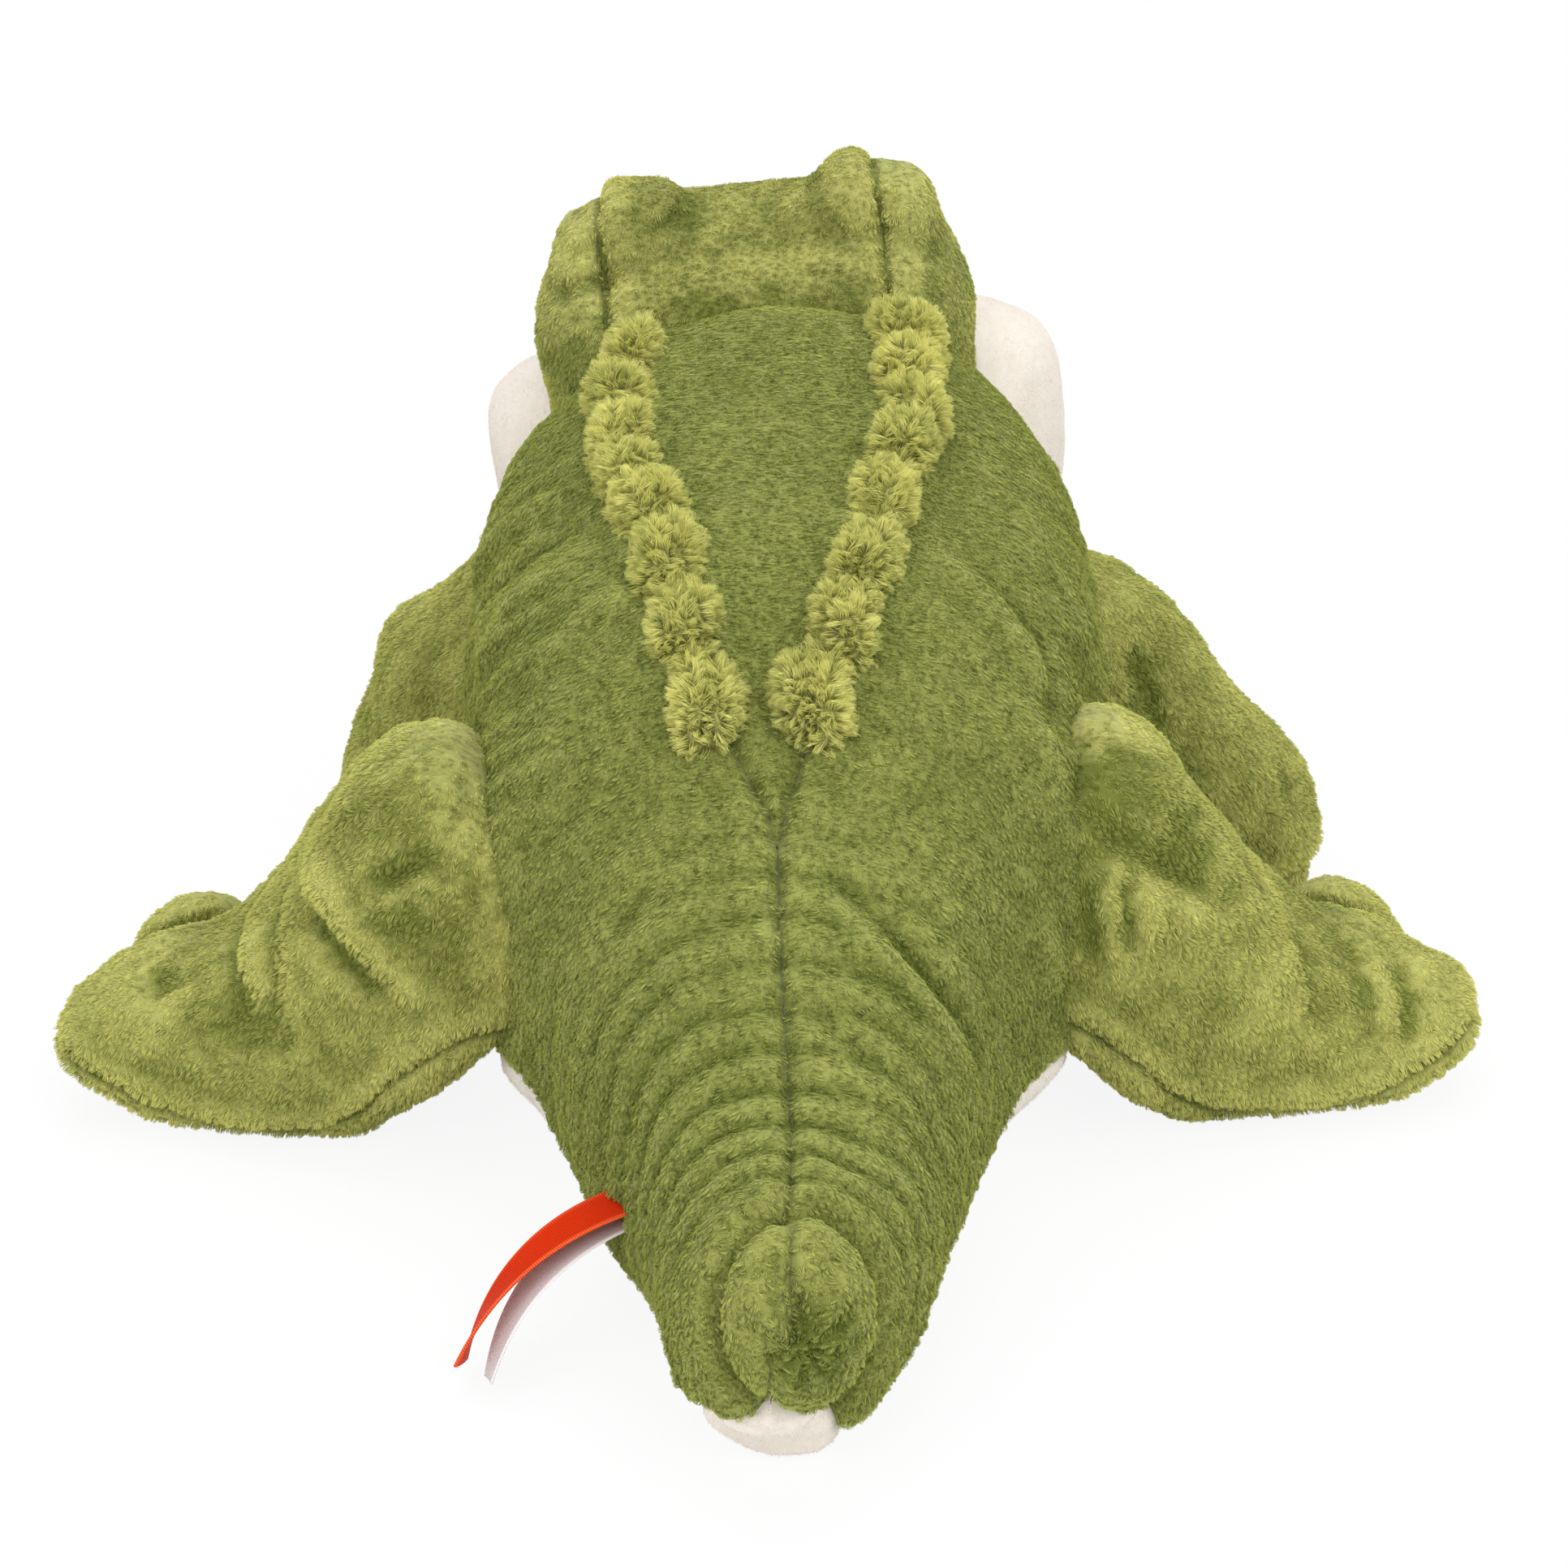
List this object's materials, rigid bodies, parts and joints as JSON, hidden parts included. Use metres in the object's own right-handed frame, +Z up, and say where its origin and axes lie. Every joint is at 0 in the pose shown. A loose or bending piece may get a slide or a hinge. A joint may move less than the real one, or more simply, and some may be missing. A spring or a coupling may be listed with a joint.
{
  "type": "plush crocodile",
  "caption": "Stuffed plush crocodile lying on its belly, with splayed legs, jowls, eye bumps, crest rows along the back and an upturned tail.",
  "frame": {"origin": "on the floor under the middle of the toy's outline box", "axes": "+Y from tail to nose, +X to the toy's right side, +Z up"},
  "size_m": [0.237, 0.3, 0.1332],
  "materials": {
    "green_pile": "short dense plush pile, olive green",
    "light_green_pile": "longer plush pile, light olive green with a soft sheen",
    "crest_pile": "long fuzzy pile, pale yellow green",
    "cream_pile": "short plush pile, cream",
    "filling": "polyester fibre filling",
    "eye": "polished black",
    "washer": "moulded",
    "ribbon": "woven ribbon, orange red",
    "label": "smooth woven tape, white"
  },
  "bodies": {
    "body": {"body_side_panel_left": "green_pile", "body_side_panel_right": "green_pile", "back_gusset": "green_pile", "belly_panel": "cream_pile", "body_filling": "filling", "crest_row_left": "crest_pile", "crest_row_right": "crest_pile"},
    "tail": {"tail_side_panel_left": "green_pile", "tail_side_panel_right": "green_pile", "tail_underside_panel": "cream_pile", "tail_filling": "filling"},
    "head": {"crown_panel": "light_green_pile", "head_side_panel_left": "green_pile", "head_side_panel_right": "green_pile", "jaw_and_cheeks_panel": "cream_pile", "head_filling": "filling", "eye_left": "eye", "eye_right": "eye", "eye_washer_left": "washer", "eye_washer_right": "washer"},
    "hind_leg_left": {"hind_leg_left_upper_panel": "light_green_pile", "hind_leg_left_sole_panel": "light_green_pile", "hind_leg_left_filling": "filling"},
    "hind_leg_right": {"hind_leg_right_upper_panel": "light_green_pile", "hind_leg_right_sole_panel": "light_green_pile", "hind_leg_right_filling": "filling"},
    "front_leg_left": {"front_leg_left_upper_panel": "light_green_pile", "front_leg_left_sole_panel": "light_green_pile", "front_leg_left_filling": "filling"},
    "front_leg_right": {"front_leg_right_upper_panel": "light_green_pile", "front_leg_right_sole_panel": "light_green_pile", "front_leg_right_filling": "filling"},
    "labels": {"ribbon_label": "ribbon", "care_label": "label"}
  },
  "joints": [
    {"name": "neck_nod", "type": "hinge", "parent": "body", "child": "head", "pos_m": [0, 0.05, 0.056], "axis": [1, 0, 0], "range_deg": [-8, 6], "stiffness_Nm_per_rad": 0.9, "springref_deg": 2.01},
    {"name": "tail_swing", "type": "hinge", "parent": "body", "child": "tail", "pos_m": [0.00168, -0.066, 0.05625], "axis": [0, 0, 1], "range_deg": [-20, 20], "stiffness_Nm_per_rad": 0.3},
    {"name": "hind_leg_left_lift", "type": "hinge", "parent": "body", "child": "hind_leg_left", "pos_m": [-0.03661, -0.037, 0.075], "axis": [0, 1, 0], "range_deg": [0, 35], "stiffness_Nm_per_rad": 0.08},
    {"name": "hind_leg_right_lift", "type": "hinge", "parent": "body", "child": "hind_leg_right", "pos_m": [0.04409, -0.031, 0.075], "axis": [0, -1, 0], "range_deg": [0, 35], "stiffness_Nm_per_rad": 0.08},
    {"name": "front_leg_left_lift", "type": "hinge", "parent": "body", "child": "front_leg_left", "pos_m": [-0.0546, 0.043, 0.074], "axis": [0, 1, 0], "range_deg": [0, 35], "stiffness_Nm_per_rad": 0.08},
    {"name": "front_leg_right_lift", "type": "hinge", "parent": "body", "child": "front_leg_right", "pos_m": [0.05812, 0.043, 0.074], "axis": [0, -1, 0], "range_deg": [0, 35], "stiffness_Nm_per_rad": 0.08},
    {"name": "label_flap", "type": "hinge", "parent": "tail", "child": "labels", "pos_m": [-0.02325, -0.101, 0.023], "axis": [0, 1, 0], "range_deg": [0, 30], "stiffness_Nm_per_rad": 0.002}
  ]
}
